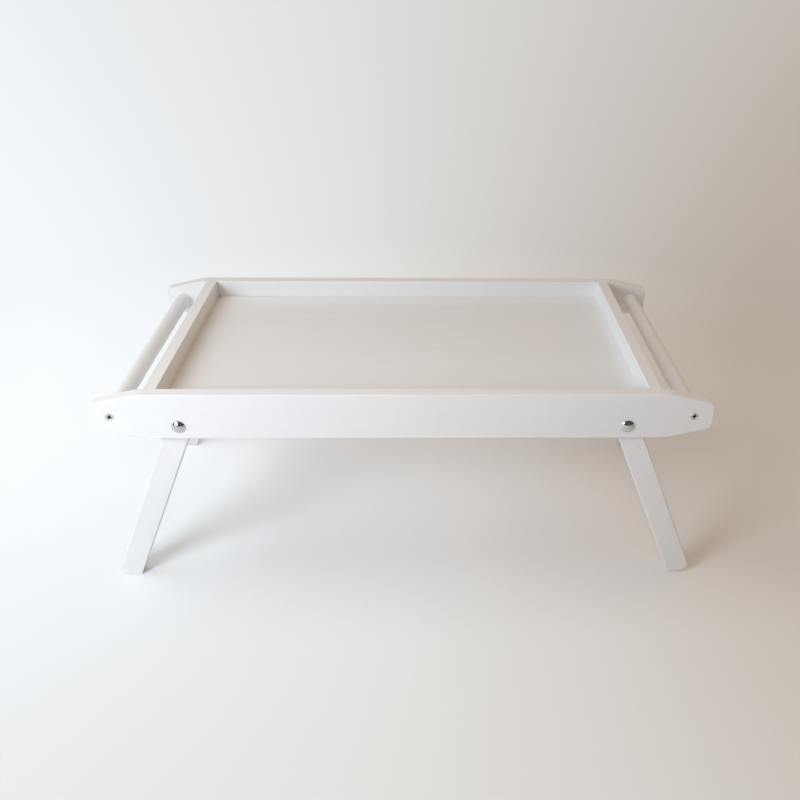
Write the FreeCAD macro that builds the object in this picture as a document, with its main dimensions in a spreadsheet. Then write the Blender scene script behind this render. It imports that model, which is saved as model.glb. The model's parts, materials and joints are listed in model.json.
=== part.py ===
import FreeCAD, Part
import os
import re

import Sketcher

# A folding bed tray table of painted wood. Millimetres and degrees.
# Origin: on the ground under the middle of the tray. +X runs along the tray, +Y away from its front, +Z up.

# The driving sizes: the sheet's name for each, its value and what it measures.
SIZES = {
    "board_length": (600.0, "side board, end to end"),
    "tray_width": (300.0, "over the two side boards' outer faces"),
    "overall_height": (234.0, "ground to rim, legs out"),
    "board_height": (48.5, "side and end boards"),
    "board_thickness": (13.0, "side and end boards"),
    "taper_length": (45.0, "side board's end, along the board"),
    "taper_drop": (10.5, "side board's end, at top and at bottom"),
    "end_corner_round": (6.0, "side board's four end corners"),
    "taper_blend": (60.0, "soft bend where the taper starts"),
    "board_edge_round": (1.0, "sanded edges of the boards"),
    "handle_overhang": (50.0, "side board's end to the end board's outer face"),
    "tray_depth": (20.0, "rim to floor panel"),
    "panel_thickness": (3.0, "floor panel"),
    "groove_depth": (5.0, "groove that holds the floor panel"),
    "groove_clearance": (0.1, "groove's play over the panel, and at the panel's edges"),
    "bar_diameter": (16.5, "round handle bar"),
    "bar_from_end": (18.5, "bar's axis from the side board's end"),
    "screw_head_diameter": (8.0, "handle screw"),
    "screw_head_angle": (90.0, "handle screw's cone, side to side"),
    "screw_shank_diameter": (4.0, "handle screw"),
    "screw_length": (40.0, "handle screw, over its flush head"),
    "screw_point_length": (5.0, "handle screw"),
    "screw_recess_width": (4.6, "cross recess, tip to tip"),
    "screw_recess_slot": (1.1, "cross recess, width of an arm"),
    "screw_recess_depth": (1.6, "cross recess"),
    "dowel_diameter": (6.0, "corner dowel"),
    "dowel_length": (30.0, "corner dowel"),
    "dowel_seat": (8.0, "depth of a dowel in the side board"),
    "dowel_chamfer": (0.8, "corner dowel's ends"),
    "end_space": (0.4, "left in a blind hole past a dowel's or screw's end"),
    "leg_width": (24.0, "across the leg's face"),
    "leg_thickness": (13.0, "leg"),
    "leg_splay": (23.3, "leg's lean from upright, when out"),
    "leg_edge_round": (1.5, "sanded edges of the leg"),
    "foot_round": (9.5, "leg's outer bottom corner"),
    "pivot_from_end": (82.5, "leg pivot from the side board's end"),
    "stop_clearance": (0.3, "leg's top under the floor panel"),
    "side_play": (0.05, "each side of the leg, between its washers"),
    "bolt_diameter": (5.0, "pivot bolt's shank"),
    "bolt_length": (35.0, "pivot bolt under its head"),
    "bolt_head_diameter": (13.5, "domed head"),
    "bolt_head_height": (3.3, "domed head"),
    "bolt_head_rim": (0.5, "upright rim under the dome"),
    "bolt_neck_width": (5.2, "square neck under the head"),
    "bolt_neck_length": (4.0, "square neck under the head"),
    "bolt_end_chamfer": (0.6, "pivot bolt's end"),
    "spacer_diameter": (14.0, "plastic washer between board and leg"),
    "spacer_thickness": (1.0, "plastic washer between board and leg"),
    "washer_diameter": (12.0, "steel washer under the nut"),
    "washer_thickness": (1.0, "steel washer under the nut"),
    "nut_across_flats": (8.0, "lock nut"),
    "nut_hex_height": (3.4, "lock nut's hexagon"),
    "nut_collar_diameter": (7.0, "lock nut's round collar"),
    "nut_collar_height": (1.6, "lock nut's round collar"),
    "nut_corner_slope": (30.0, "lock nut's cut corners, from its bearing face"),
    "fit_clearance": (0.05, "all round each bolt, screw and dowel"),
}

# Places and sizes that follow from the driving ones.
RULES = {
    "half_length": "board_length / 2",
    "half_width": "tray_width / 2",
    "board_base": "overall_height - board_height",
    "inner_width": "tray_width - 2 * board_thickness",
    "end_board_outer": "half_length - handle_overhang",
    "end_board_inner": "end_board_outer - board_thickness",
    "groove_bottom": "board_height - tray_depth - panel_thickness",
    "groove_top": "groove_bottom + panel_thickness + groove_clearance",
    "panel_half_length": "end_board_inner + groove_depth - groove_clearance",
    "panel_half_width": "inner_width / 2 + groove_depth - groove_clearance",
    "bar_place": "half_length - bar_from_end",
    "screw_head_height": "(screw_head_diameter - screw_shank_diameter) / 2 / tan(screw_head_angle / 2)",
    "screw_bore": "screw_shank_diameter + 2 * fit_clearance",
    "pilot_depth": "screw_length - board_thickness + end_space",
    "dowel_bore": "dowel_diameter + 2 * fit_clearance",
    "dowel_place": "end_board_inner + board_thickness / 2",
    "lower_dowel_height": "groove_bottom / 2",
    "upper_dowel_height": "(groove_top + board_height) / 2",
    "dowel_seat_bore": "dowel_seat + end_space",
    "dowel_end_bore": "dowel_length - dowel_seat + end_space",
    "pivot_place": "half_length - pivot_from_end",
    "pivot_rise": "groove_bottom - stop_clearance - leg_width / 2",
    "pivot_height": "board_base + pivot_rise",
    "bolt_bore": "bolt_diameter + 2 * fit_clearance",
    "neck_bore": "bolt_neck_width + 2 * fit_clearance",
    "spacer_from": "board_thickness",
    "leg_from": "spacer_from + spacer_thickness + side_play",
    "washer_from": "leg_from + leg_thickness + side_play",
    "nut_from": "washer_from + washer_thickness",
    "nut_corner_radius": "nut_across_flats / sqrt(3)",
}

NEAR = 1e-4

doc = FreeCAD.newDocument("BedTrayTable")
sheet = doc.addObject("Spreadsheet::Sheet", "Sizes")
parts = []


def fill_sheet():
    """Write the driving sizes, one row each: what it measures, its value."""
    for row, (name, (value, meaning)) in enumerate(SIZES.items(), start=1):
        sheet.set(f"A{row}", meaning)
        sheet.set(f"B{row}", str(value))
        sheet.setAlias(f"B{row}", name)
    doc.recompute()


def formula(rule):
    """Turn a rule in the names above into an expression on the sheet."""

    def swap(match):
        word = match.group(0)
        if word in RULES:
            return "(" + formula(RULES[word]) + ")"
        return "Sizes." + word if word in SIZES else word

    return re.sub(r"[a-z_]+", swap, rule)


def number(rule):
    return float(sheet.evalExpression(formula(rule)))


def bind(item, prop, rule):
    item.setExpression(prop, formula(rule))


# Sketches


def new_sketch(body, role, offset=None):
    """Add a sketch on one of the body's origin planes, or at an offset along that plane's normal."""
    plane = next(item for item in body.Origin.OriginFeatures if item.Role == role)
    sketch = body.newObject("Sketcher::SketchObject", "Sketch")
    sketch.AttachmentSupport = [(plane, "")]
    sketch.MapMode = "FlatFace"
    if offset:
        bind(sketch, "AttachmentOffset.Base.z", offset)
    return sketch


def dimension(sketch, kind, where, rule):
    index = sketch.addConstraint(Sketcher.Constraint(kind, *where, number(rule)))
    bind(sketch, f"Constraints[{index}]", rule)


def place_point(sketch, geometry, end, x, y):
    """Hold a point at two rules from the sketch's origin, or on its axis where a rule is 0."""
    for kind, axis, rule in (("DistanceX", -2, x), ("DistanceY", -1, y)):
        if rule == "0":
            sketch.addConstraint(Sketcher.Constraint("PointOnObject", geometry, end, axis))
        else:
            dimension(sketch, kind, (-1, 1, geometry, end), rule)


def arc_between(start, end, radius):
    """The short arc from start to end that has its centre on the left."""
    chord = end - start
    middle = start + chord * 0.5
    left = FreeCAD.Vector(-chord.y, chord.x, 0).normalize()
    to_centre = (radius**2 - (chord.Length / 2) ** 2) ** 0.5
    crown = middle + left * (to_centre - radius)
    return Part.Arc(start, crown, end)


def draw_outline(sketch, corners, arcs=()):
    """Draw a closed outline through corners given as rules. arcs maps an edge's number to its radius.

    A sketch may hold several, so the edges count on from the last one's.
    """
    arcs = dict(arcs)
    points = [FreeCAD.Vector(number(x), number(y), 0) for x, y in corners]
    first = sketch.GeometryCount
    count = len(points)
    for index, start in enumerate(points):
        end = points[(index + 1) % count]
        if index in arcs:
            edge = arc_between(start, end, number(arcs[index]))
        else:
            edge = Part.LineSegment(start, end)
        sketch.addGeometry(edge, False)
    for index, (x, y) in enumerate(corners):
        before = first + (index - 1) % count
        sketch.addConstraint(Sketcher.Constraint("Coincident", before, 2, first + index, 1))
        place_point(sketch, first + index, 1, x, y)
    for index, radius in arcs.items():
        dimension(sketch, "Radius", (first + index,), radius)


def draw_rectangle(sketch, left, bottom, right, top):
    draw_outline(sketch, [(left, bottom), (right, bottom), (right, top), (left, top)])


def draw_square(sketch, x, y, width):
    half = f"({width}) / 2"
    draw_rectangle(sketch, f"{x} - {half}", f"{y} - {half}", f"{x} + {half}", f"{y} + {half}")


def draw_board_section(sketch, left, right):
    """Draw an end board's section between two rules, as tall as the boards, with its sanded corners."""
    edge = "board_edge_round"
    under_top = f"board_height - {edge}"
    corners = [
        (left, edge),
        (f"{left} + {edge}", "0"),
        (f"{right} - {edge}", "0"),
        (right, edge),
        (right, under_top),
        (f"{right} - {edge}", "board_height"),
        (f"{left} + {edge}", "board_height"),
        (left, under_top),
    ]
    draw_outline(sketch, corners, arcs={corner: edge for corner in (0, 2, 4, 6)})


def draw_circle(sketch, x, y, diameter):
    centre = FreeCAD.Vector(number(x), number(y), 0)
    circle = Part.Circle(centre, FreeCAD.Vector(0, 0, 1), number(diameter) / 2)
    index = sketch.addGeometry(circle, False)
    place_point(sketch, index, 3, x, y)
    dimension(sketch, "Diameter", (index,), diameter)


# Features


def add_pad(body, sketch, length, backwards=False, both_ways=False):
    pad = body.newObject("PartDesign::Pad", "Pad")
    pad.Profile = sketch
    pad.Reversed = backwards
    pad.Midplane = both_ways
    bind(pad, "Length", length)
    doc.recompute()


def check_cut(body, before, name):
    """A cut that takes nothing away points the wrong way."""
    doc.recompute()
    if body.Shape.Volume >= before - NEAR:
        raise RuntimeError(f"{body.Label}: {name} removes nothing")


def add_pocket(body, sketch, depth=None, backwards=False):
    """Cut a sketch's shape out of the body, to a depth or right through."""
    before = body.Shape.Volume
    pocket = body.newObject("PartDesign::Pocket", "Pocket")
    pocket.Profile = sketch
    pocket.Reversed = backwards
    if depth:
        bind(pocket, "Length", depth)
    else:
        pocket.Type = "ThroughAll"
    check_cut(body, before, sketch.Name)


def turn_sketch(body, kind, sketch):
    """Turn a sketch's shape all the way round its upright axis."""
    turned = body.newObject(kind, "Turned")
    turned.Profile = sketch
    turned.ReferenceAxis = (sketch, ["V_Axis"])
    turned.Angle = 360


def add_turned(body, sketch):
    turn_sketch(body, "PartDesign::Revolution", sketch)
    doc.recompute()


def cut_turned(body, sketch):
    before = body.Shape.Volume
    turn_sketch(body, "PartDesign::Groove", sketch)
    check_cut(body, before, sketch.Name)


def add_countersunk_hole(body, sketch):
    """Drill the handle screw's hole, with the seat for its head at the sketch."""
    before = body.Shape.Volume
    doc.recompute()
    hole = body.newObject("PartDesign::Hole", "Hole")
    hole.Profile = sketch
    doc.recompute()
    hole.DepthType = "ThroughAll"
    hole.HoleCutType = "Countersink"
    hole.HoleCutCustomValues = True
    bind(hole, "Diameter", "screw_bore")
    bind(hole, "HoleCutDiameter", "screw_head_diameter + 2 * fit_clearance")
    bind(hole, "HoleCutCountersinkAngle", "screw_head_angle")
    check_cut(body, before, sketch.Name)


def edges_where(shape, test):
    return [f"Edge{index}" for index, edge in enumerate(shape.Edges, start=1) if test(edge.BoundBox)]


def round_edges(body, radius, test):
    """Round the edges of the body's last shape that pass a test of their box."""
    fillet = body.newObject("PartDesign::Fillet", "Fillet")
    base = fillet.BaseFeature
    fillet.Base = (base, edges_where(base.Shape, test))
    bind(fillet, "Radius", radius)
    doc.recompute()


def chamfer_edges(body, size, test):
    chamfer = body.newObject("PartDesign::Chamfer", "Chamfer")
    base = chamfer.BaseFeature
    chamfer.Base = (base, edges_where(base.Shape, test))
    bind(chamfer, "Size", size)
    doc.recompute()


def crossing_at(x_places, z_places):
    """A test for edges square to the face of a board, at given distances from its middle and its base."""

    def test(box):
        if box.XLength > NEAR or box.ZLength > NEAR:
            return False
        on_x = any(abs(box.XMin - x) < NEAR for x in x_places)
        return on_x and any(abs(box.ZMin - z) < NEAR for z in z_places)

    return test


def around_faces(low, high, axis="Y"):
    """A test for edges that lie in either of two faces square to an axis."""

    def test(box):
        ends = (getattr(box, axis + "Min"), getattr(box, axis + "Max"))
        return any(all(abs(end - place) < NEAR for end in ends) for place in (low, high))

    return test


# Placing


def new_part(label):
    body = doc.addObject("PartDesign::Body", label)
    body.Label = label
    parts.append(body)
    return body


def put(body, x="0", y="0", z="0", axis=(0, 0, 1), angle=0):
    """Turn a part about an axis through its own origin, then move it to three rules."""
    turn = FreeCAD.Rotation(FreeCAD.Vector(*axis), angle)
    body.Placement = FreeCAD.Placement(FreeCAD.Vector(0, 0, 0), turn)
    for letter, rule in zip("xyz", (x, y, z)):
        bind(body, f"Placement.Base.{letter}", rule)


def put_in_side_board(body, side, row, along, height, inward):
    """Lay a turned part along Y, its own +Z out of the side board, at a depth from that board's face."""
    put(
        body,
        x=f"{side} * ({along})",
        y=f"{row} * (half_width - ({inward}))",
        z=height,
        axis=(1, 0, 0),
        angle=-90 * row,
    )


# The tray


def make_side_board(label, row):
    """A long board: tapered ends, a groove for the floor panel and the holes for all that it carries.

    It is drawn with its inner face on the XZ plane and its outer face at -Y. Its rounded inner edges
    stop at each end board, whose section stands there instead, so that the rim runs on level.
    """
    body = new_part(label)
    outline = new_sketch(body, "XZ_Plane")
    taper_start = "half_length - taper_length"
    upper_end = "board_height - taper_drop"
    draw_outline(
        outline,
        [
            (f"-({taper_start})", "0"),
            (taper_start, "0"),
            ("half_length", "taper_drop"),
            ("half_length", upper_end),
            (taper_start, "board_height"),
            (f"-({taper_start})", "board_height"),
            ("-half_length", upper_end),
            ("-half_length", "taper_drop"),
        ],
    )
    add_pad(body, outline, "board_thickness")

    end_x = number("half_length")
    taper_x = number(taper_start)
    top = number("board_height")
    drop = number("taper_drop")
    round_edges(body, "end_corner_round", crossing_at((end_x, -end_x), (drop, top - drop)))
    round_edges(body, "taper_blend", crossing_at((taper_x, -taper_x), (0, top)))
    round_edges(body, "board_edge_round", around_faces(-number("board_thickness"), 0))

    joints = new_sketch(body, "XZ_Plane")
    draw_board_section(joints, "end_board_inner", "end_board_outer")
    draw_board_section(joints, "-end_board_outer", "-end_board_inner")
    add_pad(body, joints, "board_edge_round")

    groove = new_sketch(body, "XZ_Plane")
    groove_end = "end_board_inner + groove_depth"
    draw_rectangle(groove, f"-({groove_end})", "groove_bottom", groove_end, "groove_top")
    add_pocket(body, groove, "groove_depth", backwards=True)

    dowels = new_sketch(body, "XZ_Plane")
    for sign in ("", "-"):
        for height in ("lower_dowel_height", "upper_dowel_height"):
            draw_circle(dowels, f"{sign}dowel_place", height, "dowel_bore")
    add_pocket(body, dowels, "dowel_seat_bore", backwards=True)

    necks = new_sketch(body, "XZ_Plane", offset="board_thickness")
    for sign in (1, -1):
        draw_square(necks, f"{sign} * pivot_place", "pivot_rise", "neck_bore")
    add_pocket(body, necks, "bolt_neck_length + fit_clearance")

    bolts = new_sketch(body, "XZ_Plane")
    for sign in ("", "-"):
        draw_circle(bolts, f"{sign}pivot_place", "pivot_rise", "bolt_bore")
    add_pocket(body, bolts, backwards=True)

    screws = new_sketch(body, "XZ_Plane", offset="board_thickness")
    for sign in ("", "-"):
        draw_circle(screws, f"{sign}bar_place", "board_height / 2", "screw_bore")
    add_countersunk_hole(body, screws)

    put(body, y=f"{row} * inner_width / 2", z="board_base", angle=90 + 90 * row)


def make_end_board(label, side):
    """A short board between the side boards, its inner face on the YZ plane and its outer face at +X."""
    body = new_part(label)
    section = new_sketch(body, "XZ_Plane")
    draw_board_section(section, "0", "board_thickness")
    add_pad(body, section, "inner_width", both_ways=True)

    groove = new_sketch(body, "YZ_Plane")
    draw_rectangle(groove, "-inner_width / 2", "groove_bottom", "inner_width / 2", "groove_top")
    add_pocket(body, groove, "groove_depth", backwards=True)

    for sign in (1, -1):
        dowels = new_sketch(body, "XZ_Plane", offset=f"{sign} * inner_width / 2")
        for height in ("lower_dowel_height", "upper_dowel_height"):
            draw_circle(dowels, "board_thickness / 2", height, "dowel_bore")
        add_pocket(body, dowels, "dowel_end_bore", backwards=sign < 0)

    put(body, x=f"{side} * end_board_inner", z="board_base", angle=90 - 90 * side)


def make_floor_panel():
    body = new_part("floor_panel")
    face = new_sketch(body, "XY_Plane")
    draw_rectangle(
        face, "-panel_half_length", "-panel_half_width", "panel_half_length", "panel_half_width"
    )
    add_pad(body, face, "panel_thickness")
    put(body, z="board_base + groove_bottom")


def make_handle_bar(label, side):
    """A round bar between the side boards, with a pilot hole in each end for its screw."""
    body = new_part(label)
    section = new_sketch(body, "XZ_Plane")
    draw_circle(section, "0", "0", "bar_diameter")
    add_pad(body, section, "inner_width", both_ways=True)
    for sign in (1, -1):
        pilot = new_sketch(body, "XZ_Plane", offset=f"{sign} * inner_width / 2")
        draw_circle(pilot, "0", "0", "screw_bore")
        add_pocket(body, pilot, "pilot_depth", backwards=sign < 0)
    put(body, x=f"{side} * bar_place", z="board_base + board_height / 2")


# Fasteners, each drawn along its own Z axis with its outer end at +Z


def make_handle_screw(label, side, row):
    """A countersunk wood screw with a cross recess."""
    body = new_part(label)
    profile = new_sketch(body, "XZ_Plane")
    draw_outline(
        profile,
        [
            ("0", "0"),
            ("0", "-screw_length"),
            ("screw_shank_diameter / 2", "screw_point_length - screw_length"),
            ("screw_shank_diameter / 2", "-screw_head_height"),
            ("screw_head_diameter / 2", "0"),
        ],
    )
    add_turned(body, profile)
    arm = "screw_recess_width / 2"
    slot = "screw_recess_slot / 2"
    for wide, tall in ((arm, slot), (slot, arm)):
        recess = new_sketch(body, "XY_Plane")
        draw_rectangle(recess, f"-{wide}", f"-{tall}", wide, tall)
        add_pocket(body, recess, "screw_recess_depth")
    put_in_side_board(body, side, row, "bar_place", "board_base + board_height / 2", "0")


def make_dowel(label, side, row, height):
    body = new_part(label)
    section = new_sketch(body, "XY_Plane")
    draw_circle(section, "0", "0", "dowel_diameter")
    add_pad(body, section, "dowel_length", backwards=True)
    chamfer_edges(body, "dowel_chamfer", around_faces(-number("dowel_length"), 0, "Z"))
    seat = "board_thickness - dowel_seat"
    put_in_side_board(body, side, row, "dowel_place", f"board_base + {height}", seat)


def make_pivot_bolt(label, side, row):
    """A bolt with a domed head and a square neck, on which a leg turns."""
    body = new_part(label)
    profile = new_sketch(body, "XZ_Plane")
    head_radius = "bolt_head_diameter / 2"
    dome_height = "(bolt_head_height - bolt_head_rim)"
    dome_radius = f"(({head_radius}) ^ 2 + {dome_height} ^ 2) / (2 * {dome_height})"
    draw_outline(
        profile,
        [
            ("0", "bolt_head_height"),
            ("0", "-bolt_length"),
            ("bolt_diameter / 2", "-bolt_length"),
            ("bolt_diameter / 2", "0"),
            (head_radius, "0"),
            (head_radius, "bolt_head_rim"),
        ],
        arcs={5: dome_radius},
    )
    add_turned(body, profile)
    neck = new_sketch(body, "XY_Plane")
    draw_square(neck, "0", "0", "bolt_neck_width")
    add_pad(body, neck, "bolt_neck_length", backwards=True)
    end = -number("bolt_length")
    chamfer_edges(body, "bolt_end_chamfer", around_faces(end, end, "Z"))
    put_in_side_board(body, side, row, "pivot_place", "pivot_height", "0")


def make_washer(label, side, row, diameter, thickness, inward):
    body = new_part(label)
    ring = new_sketch(body, "XY_Plane")
    draw_circle(ring, "0", "0", diameter)
    draw_circle(ring, "0", "0", "bolt_bore")
    add_pad(body, ring, thickness, backwards=True)
    put_in_side_board(body, side, row, "pivot_place", "pivot_height", inward)


def make_lock_nut(label, side, row):
    """A hexagon nut with corners cut at its bearing face and a round collar on its far side."""
    body = new_part(label)
    hexagon = new_sketch(body, "XY_Plane")
    corners = []
    for turn in range(6):
        height = f"nut_corner_radius * sin({60 * turn})" if turn % 3 else "0"
        corners.append((f"nut_corner_radius * cos({60 * turn})", height))
    draw_outline(hexagon, corners)
    add_pad(body, hexagon, "nut_hex_height", backwards=True)

    flat_radius = "nut_across_flats / 2"
    lead_in = new_sketch(body, "XZ_Plane")
    draw_outline(
        lead_in,
        [
            (flat_radius, "0"),
            ("nut_across_flats", "0"),
            ("nut_across_flats", f"-{flat_radius} * tan(nut_corner_slope)"),
        ],
    )
    cut_turned(body, lead_in)

    collar = new_sketch(body, "XY_Plane", offset="-nut_hex_height")
    draw_circle(collar, "0", "0", "nut_collar_diameter")
    add_pad(body, collar, "nut_collar_height", backwards=True)

    bore = new_sketch(body, "XY_Plane")
    draw_circle(bore, "0", "0", "bolt_bore")
    add_pocket(body, bore)
    put_in_side_board(body, side, row, "pivot_place", "pivot_height", "nut_from")


# The legs


def make_leg(label, side, row):
    """A flat leg about its pivot, drawn as the right-hand leg stands, leaning out to +X.

    Its top is cut level, just under the floor panel, which stops it there. The inner half of the top
    is round about the pivot, so that the leg can fold in and up under the tray.
    """
    body = new_part(label)
    outline = new_sketch(body, "XZ_Plane")
    half = "leg_width / 2"
    reach = "pivot_height * sin(leg_splay)"
    lean = "cos(leg_splay)"
    top_inner = f"-{half} * (1 + sin(leg_splay)) / {lean}"
    top_outer = f"{half} * (1 - sin(leg_splay)) / {lean}"
    foot_inner = f"({reach} - {half}) / {lean}"
    foot_outer = f"({reach} + {half}) / {lean}"
    draw_outline(
        outline,
        [
            (foot_inner, "-pivot_height"),
            (foot_outer, "-pivot_height"),
            (top_outer, half),
            (top_inner, half),
        ],
    )
    add_pad(body, outline, "leg_thickness")
    ground = -number("pivot_height")
    round_edges(body, half, crossing_at((number(top_inner),), (number(half),)))
    round_edges(body, "foot_round", crossing_at((number(foot_outer),), (ground,)))
    round_edges(body, "leg_edge_round", around_faces(-number("leg_thickness"), 0))

    bore = new_sketch(body, "XZ_Plane")
    draw_circle(bore, "0", "0", "bolt_bore")
    add_pocket(body, bore, backwards=True)

    front_face = "half_width - leg_from"
    inner_face = f"({front_face} - leg_thickness)"
    shift = inner_face if side * row < 0 else f"({front_face})"
    put(
        body,
        x=f"{side} * pivot_place",
        y=f"{row} * {shift}",
        z="pivot_height",
        angle=90 - 90 * side,
    )


def make_tray():
    for label, row in (("front_side_board", -1), ("rear_side_board", 1)):
        make_side_board(label, row)
    for name, side in (("left", -1), ("right", 1)):
        make_end_board(f"{name}_end_board", side)
        make_handle_bar(f"{name}_handle_bar", side)
    make_floor_panel()


def make_corner(name, side, row):
    """Everything that repeats at the tray's four corners."""
    make_leg(f"{name}_leg", side, row)
    make_handle_screw(f"{name}_handle_screw", side, row)
    make_dowel(f"{name}_lower_dowel", side, row, "lower_dowel_height")
    make_dowel(f"{name}_upper_dowel", side, row, "upper_dowel_height")
    make_pivot_bolt(f"{name}_pivot_bolt", side, row)
    make_washer(
        f"{name}_spacer_washer", side, row, "spacer_diameter", "spacer_thickness", "spacer_from"
    )
    make_washer(f"{name}_nut_washer", side, row, "washer_diameter", "washer_thickness", "washer_from")
    make_lock_nut(f"{name}_lock_nut", side, row)


def check_model():
    """Stop before anything is written if an object failed or a part has no sound solid."""
    for item in doc.Objects:
        if "Invalid" in item.State or "Error" in item.State:
            raise RuntimeError(f"{item.Label} failed: {item.State}")
    for body in parts:
        shape = body.Shape
        if shape.isNull() or not shape.isValid() or len(shape.Solids) != 1:
            raise RuntimeError(f"{body.Label} is not one sound solid")


def write_parts():
    os.makedirs("parts", exist_ok=True)
    for body in parts:
        body.Shape.exportStep(f"parts/{body.Label}.step")


fill_sheet()
make_tray()
for row_name, row_sign in (("front", -1), ("rear", 1)):
    for side_name, side_sign in (("left", -1), ("right", 1)):
        make_corner(f"{row_name}_{side_name}", side_sign, row_sign)
doc.recompute()
check_model()
write_parts()
print(f"{len(parts)} parts written")
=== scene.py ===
"""The looks of a folding bed tray table of white painted wood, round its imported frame. Metres."""

import json
import math

import bmesh
import bpy
from mathutils import Matrix, Vector


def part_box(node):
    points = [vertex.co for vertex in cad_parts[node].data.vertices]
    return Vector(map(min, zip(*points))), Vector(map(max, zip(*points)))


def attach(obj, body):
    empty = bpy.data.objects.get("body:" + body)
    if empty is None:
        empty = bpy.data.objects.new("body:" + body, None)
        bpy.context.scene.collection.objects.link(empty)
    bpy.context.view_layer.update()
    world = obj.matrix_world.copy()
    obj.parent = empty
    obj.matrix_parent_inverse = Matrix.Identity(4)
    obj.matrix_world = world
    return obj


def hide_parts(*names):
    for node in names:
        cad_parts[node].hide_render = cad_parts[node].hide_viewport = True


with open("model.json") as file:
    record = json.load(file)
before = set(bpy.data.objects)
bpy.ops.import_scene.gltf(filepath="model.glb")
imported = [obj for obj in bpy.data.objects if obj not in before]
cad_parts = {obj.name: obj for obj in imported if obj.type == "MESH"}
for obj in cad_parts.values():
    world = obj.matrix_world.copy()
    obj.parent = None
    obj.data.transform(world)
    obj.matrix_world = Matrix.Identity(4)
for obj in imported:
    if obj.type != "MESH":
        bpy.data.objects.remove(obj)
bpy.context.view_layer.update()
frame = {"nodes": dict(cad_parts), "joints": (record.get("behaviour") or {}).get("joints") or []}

MM = 0.001
QUARTER = math.radians(90)
SIXTH = math.radians(60)
CORNERS = [f"{row}_{side}" for row in ("front", "rear") for side in ("left", "right")]


# Shader nodes


class Shader:
    """A material's or a world's node tree, with calls that each add a node and join it up."""

    def __init__(self, owner, surface="Principled BSDF"):
        owner.use_nodes = True
        self.owner = owner
        self.tree = owner.node_tree
        self.surface = self.tree.nodes[surface]

    def fill(self, socket, value):
        """Give a socket a value of its own, or join another node's output to it."""
        if isinstance(value, bpy.types.NodeSocket):
            self.tree.links.new(value, socket)
        else:
            socket.default_value = value

    def set(self, **values):
        """Fill the surface shader's own sockets."""
        for name, value in values.items():
            self.fill(self.surface.inputs[name.replace("_", " ")], value)

    def node(self, kind, values=(), settings=(), output=0):
        """Add a node with its inputs' values and its settings, and give one of its outputs."""
        node = self.tree.nodes.new(kind)
        for name, setting in dict(settings).items():
            setattr(node, name, setting)
        for name, value in dict(values).items():
            self.fill(node.inputs[name], value)
        return node.outputs[output]

    def place(self, turn=(0, 0, 0), stretch=(1, 1, 1)):
        """The piece's own coordinates in metres, turned and then stretched."""
        place = self.node("ShaderNodeTexCoord", output="Object")
        turned = self.node("ShaderNodeMapping", {"Vector": place, "Rotation": turn})
        return self.node("ShaderNodeMapping", {"Vector": turned, "Scale": stretch})

    def noise(self, place, scale=1.0, detail=3.0, roughness=0.5):
        values = {"Vector": place, "Scale": scale, "Detail": detail, "Roughness": roughness}
        return self.node("ShaderNodeTexNoise", values)

    def remap(self, value, low, high, from_low=0.3, from_high=0.7):
        """Map one span to another and hold it there. The first is a noise's usual one."""
        values = {
            "Value": value,
            "From Min": from_low,
            "From Max": from_high,
            "To Min": low,
            "To Max": high,
        }
        return self.node("ShaderNodeMapRange", values)

    def between(self, factor, first, second):
        """Go from one colour to another."""
        ramp = self.tree.nodes.new("ShaderNodeValToRGB")
        ramp.color_ramp.elements[0].color = (*first, 1)
        ramp.color_ramp.elements[1].color = (*second, 1)
        self.fill(ramp.inputs["Fac"], factor)
        return ramp.outputs["Color"]

    def blend(self, factor, first, second):
        """Mix two colours, each a value or an output."""
        values = {0: factor, 6: first, 7: second}
        return self.node("ShaderNodeMix", values, {"data_type": "RGBA"}, output=2)

    def calculate(self, operation, first, second=0.0):
        return self.node("ShaderNodeMath", {0: first, 1: second}, {"operation": operation})

    def vector(self, operation, first, second):
        return self.node("ShaderNodeVectorMath", {0: first, 1: second}, {"operation": operation})

    def scaled(self, vector, factor):
        values = {0: vector, "Scale": factor}
        return self.node("ShaderNodeVectorMath", values, {"operation": "SCALE"})

    def dot(self, first, second):
        values = {0: first, 1: second}
        return self.node("ShaderNodeVectorMath", values, {"operation": "DOT_PRODUCT"}, output="Value")

    def length(self, vector):
        return self.node("ShaderNodeVectorMath", {0: vector}, {"operation": "LENGTH"}, output="Value")

    def part(self, vector, axis):
        """A vector's X, Y or Z."""
        return self.node("ShaderNodeSeparateXYZ", {"Vector": vector}, output=axis)

    def bump(self, height, depth, under=None):
        """Raise the surface by up to a depth in metres, on top of another bump."""
        values = {"Height": height, "Distance": depth, "Strength": 1.0}
        if under:
            values["Normal"] = under
        return self.node("ShaderNodeBump", values)


# Materials. A stretch says how many times to a metre a noise repeats along each axis.

PAINT = (0.80, 0.80, 0.80)
PAINT_THIN = (0.765, 0.76, 0.75)
GRAIN_STRETCH = (9, 330, 330)
FIGURE_STRETCH = (2.2, 46, 46)
BRUSH_STRETCH = (14, 1500, 1500)
# Painted shade for the screws' recesses: a dark colour and a duller finish from just under the head's face
# down
RECESS_PAINTED_SHADE = (0.09, 0.09, 0.095, 1)
RECESS_SHADE_ROUGHNESS = 0.3
RECESS_SHADE_EDGE = 0.05 * MM
BEECH_FLECK = (0.30, 0.17, 0.09, 1)


def new_shader(name):
    return Shader(bpy.data.materials.new(name))


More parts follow.
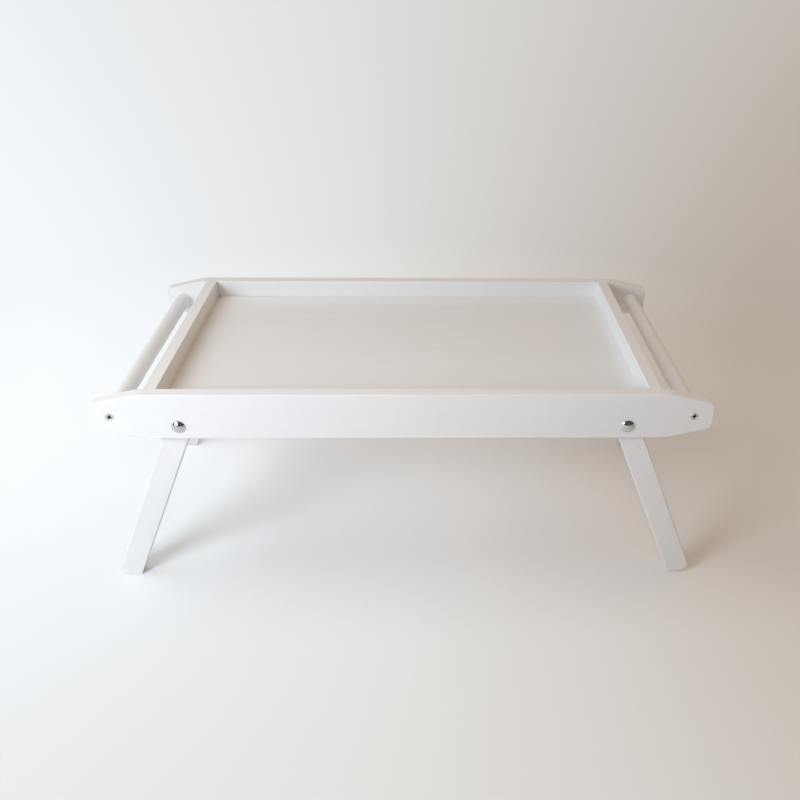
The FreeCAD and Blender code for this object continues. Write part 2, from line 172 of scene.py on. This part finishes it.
def painted_wood(name, turn, grain_depth=0.035 * MM, roughness=0.42):
    """Satin white paint on wood whose grain runs along the first axis once turned.

    The grain shows through the paint, the brush leaves fine lines along it, and the film between
    them is slightly uneven.
    """
    shader = new_shader(name)
    grain = shader.noise(shader.place(turn, GRAIN_STRETCH), detail=4.0, roughness=0.6)
    figure = shader.noise(shader.place(turn, FIGURE_STRETCH), detail=2.0)
    brush = shader.noise(shader.place(turn, BRUSH_STRETCH), detail=2.0)
    film = shader.noise(shader.place(), scale=260.0, detail=2.0)
    waves = shader.noise(shader.place(), scale=22.0, detail=1.0)

    tone = shader.calculate("MULTIPLY", shader.remap(figure, 0, 1), shader.remap(grain, 0.35, 1))
    shader.set(Base_Color=shader.between(tone, PAINT_THIN, PAINT))
    gloss = shader.calculate("ADD", shader.remap(brush, -0.035, 0.035), shader.remap(film, -0.03, 0.03))
    shader.set(Roughness=shader.calculate("ADD", gloss, roughness))

    height = shader.bump(waves, depth=0.12 * MM)
    height = shader.bump(grain, depth=grain_depth, under=height)
    height = shader.bump(brush, depth=0.006 * MM, under=height)
    shader.set(Normal=shader.bump(film, depth=0.012 * MM, under=height))
    return shader.owner


def bright_chrome():
    """Chrome plate: almost a mirror, with fine polishing marks and a trace of haze."""
    shader = new_shader("bright_chrome")
    haze = shader.noise(shader.place(), scale=420.0)
    marks = shader.noise(shader.place((0.3, 0.7, 0), (300, 9000, 9000)), detail=2.0)
    shader.set(Metallic=1.0, Base_Color=shader.between(haze, (0.62, 0.635, 0.65), (0.70, 0.705, 0.71)))
    shader.set(Roughness=shader.remap(haze, 0.045, 0.10))
    shader.set(Normal=shader.bump(marks, depth=0.0006 * MM))
    return shader.owner


def zinc_plate(name="zinc_plate", recess_depth=0.0):
    """Bright zinc: a soft metal lustre, mottled, with faint tool marks.

    Down to recess_depth below the piece's own origin it is painted dark, as shade in a recess, and made
    dull.
    """
    shader = new_shader(name)
    mottle = shader.noise(shader.place(), scale=700.0, detail=4.0)
    marks = shader.noise(shader.place((0, 0, 0.4), (900, 6000, 900)), detail=2.0)
    colour = shader.between(mottle, (0.60, 0.62, 0.65), (0.76, 0.76, 0.75))
    roughness = shader.remap(mottle, 0.20, 0.36)
    # Painted shade: the recess is darkened and dulled down to recess_depth, where shade falls in it
    if recess_depth:
        height = shader.part(shader.place(), "Z")
        sunk = shader.remap(height, 1, 0, -recess_depth / 4, -RECESS_SHADE_EDGE)
        in_recess = shader.remap(height, 0, 1, -recess_depth * 1.1, -recess_depth)
        painted_shade = shader.calculate("MULTIPLY", sunk, in_recess)
        colour = shader.blend(painted_shade, colour, RECESS_PAINTED_SHADE)
        dullness = shader.calculate("MULTIPLY", painted_shade, RECESS_SHADE_ROUGHNESS)
        roughness = shader.calculate("ADD", roughness, dullness)
    shader.set(Metallic=1.0, Base_Color=colour, Roughness=roughness)
    shader.set(Normal=shader.bump(marks, depth=0.003 * MM))
    return shader.owner


def pale_nylon():
    """Natural nylon, a little waxy, with a moulded grain."""
    shader = new_shader("pale_nylon")
    cloud = shader.noise(shader.place(), scale=500.0)
    grain = shader.noise(shader.place(), scale=4200.0, detail=2.0)
    shader.set(Base_Color=shader.between(cloud, (0.70, 0.69, 0.63), (0.80, 0.79, 0.74)))
    shader.set(Roughness=shader.remap(grain, 0.38, 0.52), Subsurface_Weight=0.15)
    shader.set(Normal=shader.bump(grain, depth=0.006 * MM))
    return shader.owner


def bare_beech():
    """Beech with its short dark flecks, grain along Y."""
    shader = new_shader("bare_wood")
    grain = shader.noise(shader.place((0, 0, QUARTER), (30, 900, 900)), detail=4.0)
    flecks = shader.noise(shader.place((0, 0, QUARTER), (260, 2600, 2600)), detail=1.0)
    wood = shader.between(grain, (0.46, 0.29, 0.16), (0.66, 0.46, 0.28))
    mask = shader.remap(flecks, 0.0, 0.55, 0.60, 0.68)
    shader.set(Base_Color=shader.blend(mask, wood, BEECH_FLECK))
    shader.set(Roughness=shader.remap(grain, 0.55, 0.72))
    shader.set(Normal=shader.bump(grain, depth=0.04 * MM))
    return shader.owner


LEG_HALF_WIDTH = 12 * MM


def leg_lean():
    """A leg's lean from upright, from its pivot and the middle of its foot."""
    _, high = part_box("front_right_leg")
    pivot = next(joint for joint in frame["joints"] if joint["name"] == "front_right_leg_fold")["pos_m"]
    return math.atan2(high.x - pivot[0] - LEG_HALF_WIDTH, pivot[2])


def dress(node, material):
    slots = frame["nodes"][node].data.materials
    slots.clear()
    slots.append(material)


def dress_frame():
    """Give every node of the frame its finish, with the grain along its own length."""
    lean = leg_lean()
    along_board = painted_wood("side_board_paint", (0, 0, 0))
    across_board = painted_wood("end_board_paint", (0, 0, QUARTER))
    panel_paint = painted_wood("panel_paint", (0, 0, 0), grain_depth=0.015 * MM, roughness=0.38)
    leg_paint = {
        side: painted_wood(f"{side}_leg_paint", (0, turn, 0))
        for side, turn in (("left", QUARTER + lean), ("right", QUARTER - lean))
    }
    for node in ("front_side_board", "rear_side_board"):
        dress(node, along_board)
    for node in ("left_end_board", "right_end_board", "left_handle_bar", "right_handle_bar"):
        dress(node, across_board)
    dress("floor_panel", panel_paint)

    chrome, zinc, nylon, beech = bright_chrome(), zinc_plate(), pale_nylon(), bare_beech()
    screw_zinc = zinc_plate("screw_zinc", RECESS_DEPTH * MM)
    for corner in CORNERS:
        row, side = corner.split("_")
        dress(f"{corner}_leg", leg_paint[side])
        dress(f"{corner}_spacer_washer", nylon)
        dress(f"{corner}_nut_washer", zinc)
        for name in ("lower_dowel", "upper_dowel"):
            dress(f"{corner}_{name}", beech)
        make_pivot_bolt(corner, row, chrome)
        make_lock_nut(corner, row, zinc, nylon)
        make_handle_screw(corner, row, screw_zinc)


# Forms. Each piece is built in millimetres round its own axis, with Z pointing out of the tray.

SEGMENTS = 64
NEAR_CORNER = 0.02
MERGE_DISTANCE = 0.0005
SHARP_EDGE = math.radians(38)
# A thread over one pitch: how far down each point lies, and how much of the thread's depth it rises
THREAD_STEPS = ((0.0, 0.0), (0.38, 1.0), (0.5, 1.0), (0.88, 0.0))
THREAD_POINT = 0.04


def spread_angles(corners=()):
    """Equal steps round a circle, with the corners' own angles put in."""
    steps = {2 * math.pi * step / SEGMENTS for step in range(SEGMENTS)}
    clear = {step for step in steps if all(abs(step - corner) > NEAR_CORNER for corner in corners)}
    return sorted(clear | set(corners))


def arc(centre, radius, start, end, steps=5):
    """Points of an arc, as (radius, height). Its angles are in degrees, 0 outward and 90 up."""
    angles = [math.radians(start + (end - start) * step / steps) for step in range(steps + 1)]
    return [(centre[0] + radius * math.cos(a), centre[1] + radius * math.sin(a)) for a in angles]


def add_ring(form, angles, radius, height):
    """A ring of points. radius and height are numbers, or functions of the angle."""
    ring = []
    for angle in angles:
        reach = radius(angle) if callable(radius) else radius
        rise = height(angle) if callable(height) else height
        ring.append(form.verts.new((reach * math.cos(angle), reach * math.sin(angle), rise)))
    return ring


def add_rings(form, angles, outline):
    """A ring for each (radius, height) of an outline."""
    return [add_ring(form, angles, *point) for point in outline]


def join_rings(form, upper, lower):
    """Faces between two rings, the first of them the upper or inner one."""
    for index, corner in enumerate(upper):
        following = (index + 1) % len(upper)
        form.faces.new((corner, lower[index], lower[following], upper[following]))


def join_all(form, rings, closed=False):
    for upper, lower in zip(rings, rings[1:]):
        join_rings(form, upper, lower)
    if closed:
        join_rings(form, rings[-1], rings[0])


def cap_ring(form, ring, height, upward):
    """Close a ring to a point on the axis."""
    point = form.verts.new((0, 0, height))
    for index, corner in enumerate(ring):
        following = ring[(index + 1) % len(ring)]
        form.faces.new((point, corner, following) if upward else (point, following, corner))


def add_thread(form, angles, top, bottom, pitch, root, crest, point=0.0):
    """A right-hand thread from one height down to another, which a point may taper to nothing."""
    rows = []
    for step in range(len(THREAD_STEPS) * (math.ceil((top - bottom) / pitch) + 2)):
        turn, part = divmod(step, len(THREAD_STEPS))
        down, raised = THREAD_STEPS[part]
        row = []
        for angle in angles:
            height = top + pitch * (1 - turn - down + angle / (2 * math.pi))
            height = min(max(height, bottom), top)
            fade = min(1, (top - height) / pitch, (height - bottom) / pitch)
            reach = root + (crest - root) * raised * fade
            if point:
                reach *= min(1, (height - bottom) / point + THREAD_POINT)
            row.append(form.verts.new((reach * math.cos(angle), reach * math.sin(angle), height)))
        rows.append(row)
    for step, (upper, lower) in enumerate(zip(rows, rows[1:])):
        for index in range(len(angles) - 1):
            form.faces.new((upper[index], lower[index], lower[index + 1], upper[index + 1]))
        if step >= len(THREAD_STEPS):
            above, beside = rows[step - len(THREAD_STEPS)][0], rows[step + 1 - len(THREAD_STEPS)][0]
            form.faces.new((upper[-1], lower[-1], beside, above))


def finish_piece(name, form, place, body, node, material):
    """Turn a form into a piece of the scene that rides on a body and may stand for a node."""
    bmesh.ops.remove_doubles(form, verts=form.verts, dist=MERGE_DISTANCE)
    bmesh.ops.dissolve_degenerate(form, edges=form.edges, dist=MERGE_DISTANCE)
    form.transform(Matrix.Scale(MM, 4))
    for face in form.faces:
        face.smooth = True
    for edge in form.edges:
        edge.smooth = edge.calc_face_angle(0) < SHARP_EDGE
    mesh = bpy.data.meshes.new(name)
    form.to_mesh(mesh)
    form.free()
    mesh.materials.append(material)
    piece = bpy.data.objects.new(name, mesh)
    bpy.context.scene.collection.objects.link(piece)
    piece.matrix_world = place
    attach(piece, body)
    if node:
        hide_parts(node)


def half_width(node):
    """Half of a node's width from left to right, in millimetres."""
    low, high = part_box(node)
    return (high.x - low.x) / 2 / MM


def on_board(node, row):
    """A place on a side board's outer face in line with a node, with Z pointing outward."""
    low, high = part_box(node)
    board_low, board_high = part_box(f"{row}_side_board")
    face, turn = (board_low.y, QUARTER) if row == "front" else (board_high.y, -QUARTER)
    place = Vector(((low.x + high.x) / 2, face, (low.z + high.z) / 2))
    return Matrix.Translation(place) @ Matrix.Rotation(turn, 4, "X")


def depths(node, row):
    """How far out of a side board's face a node reaches, and how far in, in millimetres."""
    low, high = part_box(node)
    board_low, board_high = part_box(f"{row}_side_board")
    if row == "front":
        return (board_low.y - low.y) / MM, (board_low.y - high.y) / MM
    return (high.y - board_high.y) / MM, (low.y - board_high.y) / MM


# The pivot bolts

BOLT_RIM = 0.5
BOLT_RIM_ROUND = 0.22
BOLT_RIM_DROP = 0.1
BOLT_UNDERCUT = 0.12
BOLT_NECK = 2.6
BOLT_NECK_CORNER = 1.34 * BOLT_NECK
BOLT_NECK_LENGTH = 3.6
BOLT_SHANK = 2.5
BOLT_SHANK_FROM = 4.0
BOLT_PITCH = 0.8
BOLT_ROOT = 2.01
BOLT_RUN_OUT = 0.4
BOLT_THREAD_LENGTH = 16.0
BOLT_TIP = 0.25


def square_reach(half_width, corner):
    """The radius of a square with cut corners, for each angle."""
    return lambda a: min(half_width / max(abs(math.cos(a)), abs(math.sin(a))), corner)


def make_pivot_bolt(corner, row, material):
    """A domed bolt with a square neck and a rolled thread."""
    node = f"{corner}_pivot_bolt"
    head = half_width(node)
    top, end = depths(node, row)
    rise = top - BOLT_RIM
    sphere = (head**2 + rise**2) / (2 * rise)
    lean = math.degrees(math.acos(head / sphere))
    square = square_reach(BOLT_NECK, BOLT_NECK_CORNER)
    thread_from = end + BOLT_THREAD_LENGTH
    thread_to = end + BOLT_TIP

    form = bmesh.new()
    angles = spread_angles()
    outline = arc((0, top - sphere), sphere, 88, lean + 2, 14)
    outline += arc((head - BOLT_RIM_ROUND, BOLT_RIM - BOLT_RIM_DROP), BOLT_RIM_ROUND, 40, 0, 3)
    outline += [(head, BOLT_UNDERCUT), (head - BOLT_UNDERCUT, 0)]
    outline += [(square, 0), (square, -BOLT_NECK_LENGTH)]
    outline += [(BOLT_SHANK, -BOLT_SHANK_FROM), (BOLT_SHANK, thread_from + BOLT_RUN_OUT)]
    outline += [(BOLT_ROOT, thread_from)]
    rings = add_rings(form, angles, outline)
    cap_ring(form, rings[0], top, True)
    join_all(form, rings)
    add_thread(form, angles, thread_from, thread_to, BOLT_PITCH, BOLT_ROOT, BOLT_SHANK)
    tip = add_rings(form, angles, [(BOLT_ROOT, thread_to), (BOLT_ROOT - BOLT_TIP, end)])
    join_all(form, tip)
    cap_ring(form, tip[-1], end, False)
    place = on_board(node, row)
    finish_piece(f"{corner}_carriage_bolt", form, place, "tray", node, material)


# The lock nuts

NUT_BORE = 2.55
NUT_BORE_CUT = 0.35
NUT_FACE_CUT = 0.15
NUT_BACK_CUT = 0.8
COLLAR = 3.5
COLLAR_HEIGHT = 1.6
COLLAR_FOOT_WIDTH = 0.12
COLLAR_FOOT_HEIGHT = 0.15
COLLAR_ROUND = 0.35
COLLAR_LIP_ROUND = 0.16
COLLAR_BORE = COLLAR - 0.71
NYLON = COLLAR - 0.72
NYLON_BORE = 2.42
NYLON_HEIGHT = 0.8
NYLON_SUNK = 0.18


def make_lock_nut(corner, row, metal, nylon):
    """A hexagon with cut corners and a rolled collar, which holds a nylon ring."""
    node = f"{corner}_lock_nut"
    place = on_board(node, row)
    start, end = depths(node, row)
    flat = half_width(node) * math.cos(SIXTH / 2)
    face = flat - NUT_FACE_CUT
    shoulder = end + COLLAR_HEIGHT
    seat = end + NYLON_HEIGHT

    def hexagon(angle):
        return flat / math.cos(angle % SIXTH - SIXTH / 2)

    def cut(angle):
        return math.tan(SIXTH / 2) * (hexagon(angle) - face)

    form = bmesh.new()
    angles = spread_angles([SIXTH * turn for turn in range(6)])
    outline = [(NUT_BORE + NUT_BORE_CUT, start), (face, start)]
    outline += [(hexagon, lambda a: start - cut(a)), (hexagon, lambda a: shoulder + cut(a) * NUT_BACK_CUT)]
    outline += [(face, shoulder), (COLLAR + COLLAR_FOOT_WIDTH, shoulder)]
    outline += [(COLLAR, shoulder - COLLAR_FOOT_HEIGHT)]
    outline += arc((COLLAR - COLLAR_ROUND, end + COLLAR_ROUND), COLLAR_ROUND, 0, -90)
    outline += arc((COLLAR_BORE + COLLAR_LIP_ROUND, end + COLLAR_LIP_ROUND), COLLAR_LIP_ROUND, -90, -180, 3)
    outline += [(COLLAR_BORE, seat), (NUT_BORE, seat), (NUT_BORE, start - NUT_BORE_CUT)]
    join_all(form, add_rings(form, angles, outline), closed=True)
    finish_piece(f"{corner}_hexagon_nut", form, place, "tray", node, metal)

    # The ring, with both edges cut at its open end
    form = bmesh.new()
    low = end + NYLON_SUNK
    outline = [(NYLON_BORE, seat), (NYLON, seat), (NYLON, low + 0.12), (NYLON - 0.18, low)]
    outline += [(NYLON_BORE + 0.2, low), (NYLON_BORE, low + 0.17)]
    join_all(form, add_rings(form, spread_angles(), outline), closed=True)
    finish_piece(f"{corner}_nylon_ring", form, place, "tray", None, nylon)


# The handle screws

SCREW_SHANK = 1.75
SCREW_CREST = 2.0
SCREW_PITCH = 1.8
SCREW_ROOT = 1.35
SCREW_EDGE = 0.2
SCREW_RUN_OUT = 0.5
SCREW_THREAD_LENGTH = 26.0
SCREW_POINT = 5.0
RECESS_REACH = 2.3
RECESS_HALF_SLOT = 0.7
RECESS_DEPTH = 2.4
RECESS_WELL = 1.75
RECESS_EDGE = 0.12
RECESS_EDGE_SIZE = 0.93
RECESS_FLOOR_DEPTH = 0.8 * RECESS_DEPTH
RECESS_FLOOR_SIZE = 0.5
NO_WIDTH = 1e-9


def cross_reach(size):
    """The outline of the cross recess, round its well, for each angle at a share of its full size."""

    def reach(angle):
        across, along = abs(math.cos(angle)) + NO_WIDTH, abs(math.sin(angle)) + NO_WIDTH
        first_slot = min(RECESS_REACH / across, RECESS_HALF_SLOT / along)
        second_slot = min(RECESS_REACH / along, RECESS_HALF_SLOT / across)
        return size * max(first_slot, second_slot, RECESS_WELL)

    return reach


def make_handle_screw(corner, row, material):
    """A countersunk wood screw with a tapered cross recess."""
    node = f"{corner}_handle_screw"
    head = half_width(node)
    top, end = depths(node, row)
    cone_end = top - head + SCREW_SHANK
    thread_from = end + SCREW_THREAD_LENGTH

    form = bmesh.new()
    arm = math.atan2(RECESS_HALF_SLOT, RECESS_REACH)
    quarters = [QUARTER * turn for turn in range(4)]
    angles = spread_angles([q + a for q in quarters for a in (0, arm, QUARTER / 2, QUARTER - arm)])
    outline = [(cross_reach(RECESS_FLOOR_SIZE), top - RECESS_FLOOR_DEPTH)]
    outline += [(cross_reach(RECESS_EDGE_SIZE), top - RECESS_EDGE), (cross_reach(1.0), top)]
    outline += [(head - 2 * SCREW_EDGE, top), (head - SCREW_EDGE, top - SCREW_EDGE)]
    outline += [(SCREW_SHANK + 0.3, cone_end + 0.15), (SCREW_SHANK, cone_end - 0.4)]
    outline += [(SCREW_SHANK, thread_from + SCREW_RUN_OUT), (SCREW_ROOT, thread_from)]
    rings = add_rings(form, angles, outline)
    cap_ring(form, rings[0], top - RECESS_DEPTH, True)
    join_all(form, rings)
    add_thread(form, angles, thread_from, end, SCREW_PITCH, SCREW_ROOT, SCREW_CREST, SCREW_POINT)
    tip = add_ring(form, angles, SCREW_ROOT * THREAD_POINT, end)
    cap_ring(form, tip, end, False)
    place = on_board(node, row)
    finish_piece(f"{corner}_wood_screw", form, place, "tray", node, material)


# The stage: a pale floor and backdrop with light painted on them, bright and cool at the left, dimmer and
# warmer at the right

# Painted light: the backdrop falls off in brightness from left to right and grows warmer, as under a lamp
# at the left
BACKDROP_LIGHT_LEFT = (0.905, 0.945, 0.985)
BACKDROP_LIGHT_MIDDLE = (0.708, 0.701, 0.686)
BACKDROP_LIGHT_RIGHT = (0.485, 0.429, 0.376)
LEFT_STOP, MIDDLE_STOP, RIGHT_STOP = 0.2, 0.5, 0.78
PAPER_LIMIT = (0.9, 0.9, 0.9)
CENTRE_SOFTNESS = 0.5
FLOOR_RADIUS = 60.0
FLOOR_SEGMENTS = 96

# What the room sends to the object from the left and the right, and what metal mirrors overhead
ROOM_LEFT = (0.43, 0.42, 0.41)
ROOM_RIGHT = (0.45, 0.33, 0.23)
ROOM = tuple((left + right) / 2 for left, right in zip(ROOM_LEFT, ROOM_RIGHT))
ROOM_DIM = (0.10, 0.095, 0.09, 1)
ROOM_UNDER_TRAY = 0.65
UNDER_TRAY, CLEAR_OF_TRAY = 0.1, 1.0

# Each lamp's place, its size, its power in watts and its colour. All point at the tray.
LAMPS = {
    "key_light": ((-0.62, -0.72, 0.56), 0.4, 6.95, (0.785, 0.865, 0.985)),
    "front_light": ((-0.05, -0.90, 0.75), 0.2, 1.05, (1.0, 0.945, 0.885)),
    "high_light": ((-0.60, -0.10, 1.20), 0.6, 3.1, (0.90, 1.0, 0.97)),
    "warm_light": ((1.60, 0.30, 0.90), 1.0, 3.0, (1.0, 0.50, 0.25)),
}
LAMP_TARGET = Vector((0, 0, 0.2))


def seen_rays(shader):
    """1 for the rays that show a background: the camera's, and those off gloss or through glass."""
    kinds = ("Is Camera Ray", "Is Glossy Ray", "Is Transmission Ray")
    first, second, third = [shader.node("ShaderNodeLightPath", output=kind) for kind in kinds]
    return shader.calculate("MAXIMUM", shader.calculate("MAXIMUM", first, second), third)


def painted_backdrop_light(shader, across):
    """The backdrop's painted light, from its bright left to its dim right. across is -1 at the left and 1
    at the right.
    """
    ramp = shader.tree.nodes.new("ShaderNodeValToRGB")
    stops = ramp.color_ramp.elements
    stops[0].position, stops[0].color = LEFT_STOP, (*BACKDROP_LIGHT_LEFT, 1)
    stops[1].position, stops[1].color = RIGHT_STOP, (*BACKDROP_LIGHT_RIGHT, 1)
    stops.new(MIDDLE_STOP).color = (*BACKDROP_LIGHT_MIDDLE, 1)
    shader.fill(ramp.inputs["Fac"], shader.remap(across, 0, 1, -1, 1))
    return ramp.outputs["Color"]


def lamp_level(shader, place, lamp):
    """How brightly a lamp alone would show level white ground at a place."""
    lamp_place, _, power, colour = lamp
    aim = (LAMP_TARGET - Vector(lamp_place)).normalized()
    offset = shader.vector("SUBTRACT", place, lamp_place)
    ahead = shader.calculate("MAXIMUM", shader.dot(offset, aim), 0.0)
    spread = shader.calculate("DIVIDE", ahead, shader.calculate("POWER", shader.length(offset), 4.0))
    level = shader.calculate("MULTIPLY", spread, power * lamp_place[2] / math.pi**2)
    return shader.scaled(colour, level)


def floor_material():
    """Paper that shows the backdrop's painted light under these lamps, and keeps the object's shadow.

    Its own colour makes up for the lamps' falling off with distance. Further out, where white paper
    would still be too dim, the rays that show a background see the rest as a glow.
    """
    shader = new_shader("studio_paper")
    place = shader.node("ShaderNodeTexCoord", output="Object")
    away = shader.length(place)
    square = shader.calculate("ADD", shader.calculate("MULTIPLY", away, away), CENTRE_SOFTNESS)
    across = shader.calculate("DIVIDE", shader.part(place, "X"), shader.calculate("SQRT", square))
    wanted = painted_backdrop_light(shader, across)

    # Painted light: near the tray the floor's colour is raised, to make up for the room light that the tray
    # holds off it
    open_sky = shader.remap(away, ROOM_UNDER_TRAY, 1.0, UNDER_TRAY, CLEAR_OF_TRAY)
    lit = shader.scaled(ROOM, open_sky)
    for lamp in LAMPS.values():
        lit = shader.vector("ADD", lamp_level(shader, place, lamp), lit)
    colour = shader.vector("MINIMUM", shader.vector("DIVIDE", wanted, lit), PAPER_LIMIT)
    missing = shader.vector("SUBTRACT", wanted, shader.vector("MULTIPLY", colour, lit))
    shader.set(Base_Color=colour, Roughness=0.9, Specular_IOR_Level=0.0)
    shader.set(Emission_Color=missing, Emission_Strength=seen_rays(shader))
    return shader.owner


def make_floor():
    mesh = bpy.data.meshes.new("floor")
    form = bmesh.new()
    bmesh.ops.create_circle(form, cap_ends=True, segments=FLOOR_SEGMENTS, radius=FLOOR_RADIUS)
    form.to_mesh(mesh)
    form.free()
    floor = bpy.data.objects.new("floor", mesh)
    bpy.context.scene.collection.objects.link(floor)
    mesh.materials.append(floor_material())


def make_world():
    """The room. The camera sees the backdrop's painted light all round, and metal mirrors it too.

    What metal mirrors is dim overhead and in front of the tray. The light that the room gives is
    stronger from above and from behind, and comes to ROOM on level ground in the open.
    """
    world = bpy.data.worlds.new("room")
    bpy.context.scene.world = world
    shader = Shader(world, "Background")
    sky = shader.node("ShaderNodeTexCoord", output="Generated")
    across, behind, up = [shader.part(sky, axis) for axis in "XYZ"]

    overhead = shader.remap(up, 0, 1, 0.25, 0.5)
    in_front = shader.remap(behind, 1, 0, -0.2, 0.2)
    camera_ray = shader.node("ShaderNodeLightPath", output="Is Camera Ray")
    mirrored = shader.calculate("SUBTRACT", 1.0, camera_ray)
    dim = shader.calculate("MULTIPLY", shader.calculate("MAXIMUM", overhead, in_front), mirrored)
    seen = shader.blend(dim, painted_backdrop_light(shader, across), ROOM_DIM)

    from_above = shader.remap(up, 0.7, 1.15, 0, 1)
    from_behind = shader.remap(behind, 0.4, 1.6, -1, 1)
    tint = shader.blend(shader.remap(across, 0, 1, -1, 1), (*ROOM_LEFT, 1), (*ROOM_RIGHT, 1))
    fill = shader.scaled(tint, shader.calculate("MULTIPLY", from_above, from_behind))
    shader.set(Color=shader.blend(seen_rays(shader), fill, seen))


def light_scene():
    """Soft lamps. The front one stays out of reflections, because each bolt shows one highlight."""
    for name, (place, size, power, colour) in LAMPS.items():
        data = bpy.data.lights.new(name, "AREA")
        data.size = size
        data.energy = power
        data.color = colour
        light = bpy.data.objects.new(name, data)
        light.location = place
        light.rotation_euler = (LAMP_TARGET - Vector(place)).to_track_quat("-Z", "Y").to_euler()
        light.visible_camera = False
        light.visible_glossy = name != "front_light"
        bpy.context.scene.collection.objects.link(light)


# The camera, at the photograph's place. AXIS is the pixel where its axis meets the picture.

IMAGE_WIDTH = 800
FOCAL_PIXELS = 825.3
AXIS_X, AXIS_Y = 439.5, 406.97
CAMERA_PLACE = (0.01546, -0.83076, 0.62013)
CAMERA_PITCH, CAMERA_YAW, CAMERA_ROLL = (math.radians(a) for a in (30.38, 1.53, -0.709))
NEAREST, FURTHEST = 0.01, 200


def make_camera():
    """A camera that looks down and slightly to the right."""
    pitch, yaw, roll = CAMERA_PITCH, CAMERA_YAW, CAMERA_ROLL
    ahead = Vector((math.sin(yaw) * math.cos(pitch), math.cos(yaw) * math.cos(pitch), -math.sin(pitch)))
    level = Vector((math.cos(yaw), -math.sin(yaw), 0))
    down = ahead.cross(level)
    right = level * math.cos(roll) + down * math.sin(roll)
    up = level * math.sin(roll) - down * math.cos(roll)
    data = bpy.data.cameras.new("camera")
    data.lens = FOCAL_PIXELS / IMAGE_WIDTH * data.sensor_width
    data.shift_x = (IMAGE_WIDTH / 2 - AXIS_X) / IMAGE_WIDTH
    data.shift_y = (AXIS_Y - IMAGE_WIDTH / 2) / IMAGE_WIDTH
    data.clip_start, data.clip_end = NEAREST, FURTHEST
    camera = bpy.data.objects.new("camera", data)
    turn = Matrix((right, up, -ahead)).transposed().to_4x4()
    camera.matrix_world = Matrix.Translation(CAMERA_PLACE) @ turn
    bpy.context.scene.collection.objects.link(camera)
    bpy.context.scene.camera = camera


dress_frame()
make_floor()
make_world()
light_scene()
make_camera()
bpy.context.scene.view_settings.view_transform = "Standard"
